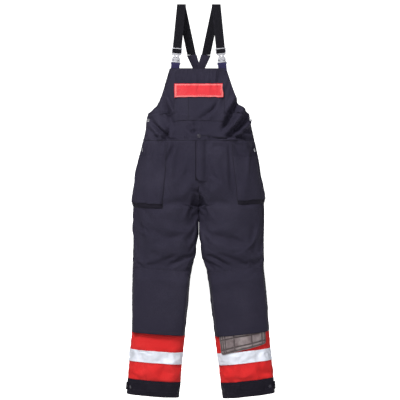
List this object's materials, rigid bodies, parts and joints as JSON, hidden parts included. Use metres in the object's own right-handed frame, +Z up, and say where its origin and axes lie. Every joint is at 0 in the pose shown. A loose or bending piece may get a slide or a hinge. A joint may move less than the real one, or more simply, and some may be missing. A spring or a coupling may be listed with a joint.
{
  "type": "firefighting bib overall",
  "caption": "Navy bib-and-brace overall with red and silver ankle bands, chest flap pocket, buckled braces, bellows pockets and sliding knee pads.",
  "frame": {"origin": "midway between the two brace folds that the garment hangs by", "axes": "+Z up along the hanging garment, front towards -Y, wearer's left towards +X"},
  "size_m": [0.6392, 0.2208, 1.6711],
  "materials": {
    "navy_cloth": "matt twill, flame-resistant cotton blend",
    "dark_navy_cloth": "matt facing cloth and tape",
    "webbing": "ribbed elastic webbing",
    "red_cloth": "matt high-visibility red cloth",
    "silver_tape": "retroreflective tape",
    "pad_rubber": "matt ribbed moulding",
    "buckle_grey": "satin grey moulding",
    "metal": "satin"
  },
  "bodies": {
    "garment": {"bib_front": "navy_cloth", "bib_back": "navy_cloth", "back_waist_elastic": "navy_cloth", "strap_yoke": "navy_cloth", "chest_pocket": "navy_cloth", "chest_pocket_loop_strip": "dark_navy_cloth", "zip_chain": "dark_navy_cloth", "waist_button": "metal", "left_front_leg": "navy_cloth", "left_back_leg": "navy_cloth", "left_thigh_pocket": "navy_cloth", "left_knee_pocket": "navy_cloth", "left_brace_tab": "navy_cloth", "left_red_band": "red_cloth", "left_silver_tape": "silver_tape", "left_hem_cuff": "dark_navy_cloth", "left_hem_socket_rear": "metal", "left_hem_socket_front": "metal", "left_side_button_upper": "metal", "left_side_button_lower": "metal", "left_brace": "webbing", "left_buckle_socket": "buckle_grey", "right_front_leg": "navy_cloth", "right_back_leg": "navy_cloth", "right_thigh_pocket": "navy_cloth", "right_knee_pocket": "navy_cloth", "right_brace_tab": "navy_cloth", "right_red_band": "red_cloth", "right_silver_tape": "silver_tape", "right_hem_cuff": "dark_navy_cloth", "right_hem_socket_rear": "metal", "right_hem_socket_front": "metal", "right_side_button_upper": "metal", "right_side_button_lower": "metal", "right_brace": "webbing", "right_buckle_socket": "buckle_grey"},
    "chest_flap": {"chest_flap": "red_cloth", "chest_flap_hook_strip": "dark_navy_cloth"},
    "fly_placket": {"fly_placket": "navy_cloth"},
    "zip_slider": {"zip_slider": "metal"},
    "zip_pull": {"zip_pull": "metal"},
    "left_plug": {"left_buckle_plug": "buckle_grey", "left_brace_end": "webbing"},
    "left_pad": {"left_knee_pad": "pad_rubber"},
    "left_hem_tab": {"left_hem_tab": "dark_navy_cloth", "left_hem_stud": "metal"},
    "right_plug": {"right_buckle_plug": "buckle_grey", "right_brace_end": "webbing"},
    "right_pad": {"right_knee_pad": "pad_rubber"},
    "right_hem_tab": {"right_hem_tab": "dark_navy_cloth", "right_hem_stud": "metal"}
  },
  "joints": [
    {"name": "chest_flap_hinge", "type": "hinge", "parent": "garment", "child": "chest_flap", "pos_m": [0, -0.07167, -0.34], "axis": [-1, 0, 0], "range_deg": [0, 150]},
    {"name": "fly_placket_hinge", "type": "hinge", "parent": "garment", "child": "fly_placket", "pos_m": [0.034, -0.0962, -0.58383], "axis": [0, 0.0552, 0.9985], "range_deg": [0, 100]},
    {"name": "zip_slide", "type": "slide", "parent": "garment", "child": "zip_slider", "axis": [0, -0.0552, -0.9985], "range_m": [0, 0.145]},
    {"name": "zip_pull_hinge", "type": "hinge", "parent": "zip_slider", "child": "zip_pull", "pos_m": [0, -0.10036, -0.58661], "axis": [-1, 0, 0], "range_deg": [0, 7]},
    {"name": "left_buckle_release", "type": "slide", "parent": "garment", "child": "left_plug", "axis": [-0.0933, 0.154, 0.9837], "range_m": [0, 0.03]},
    {"name": "left_knee_pad_slide", "type": "slide", "parent": "garment", "child": "left_pad", "axis": [-0.0912, 0, 0.9958], "range_m": [0, 0.078]},
    {"name": "left_hem_tab_hinge", "type": "hinge", "parent": "garment", "child": "left_hem_tab", "pos_m": [0.3089, 0.0262, -1.6172], "axis": [-0.0912, 0, 0.9958], "range_deg": [0, 90]},
    {"name": "right_buckle_release", "type": "slide", "parent": "garment", "child": "right_plug", "axis": [0.0933, 0.154, 0.9837], "range_m": [0, 0.03]},
    {"name": "right_knee_pad_slide", "type": "slide", "parent": "garment", "child": "right_pad", "axis": [0.0912, 0, 0.9958], "range_m": [-0.078, 0]},
    {"name": "right_hem_tab_hinge", "type": "hinge", "parent": "garment", "child": "right_hem_tab", "pos_m": [-0.3089, 0.0262, -1.6172], "axis": [-0.0912, 0, -0.9958], "range_deg": [0, 90]}
  ]
}
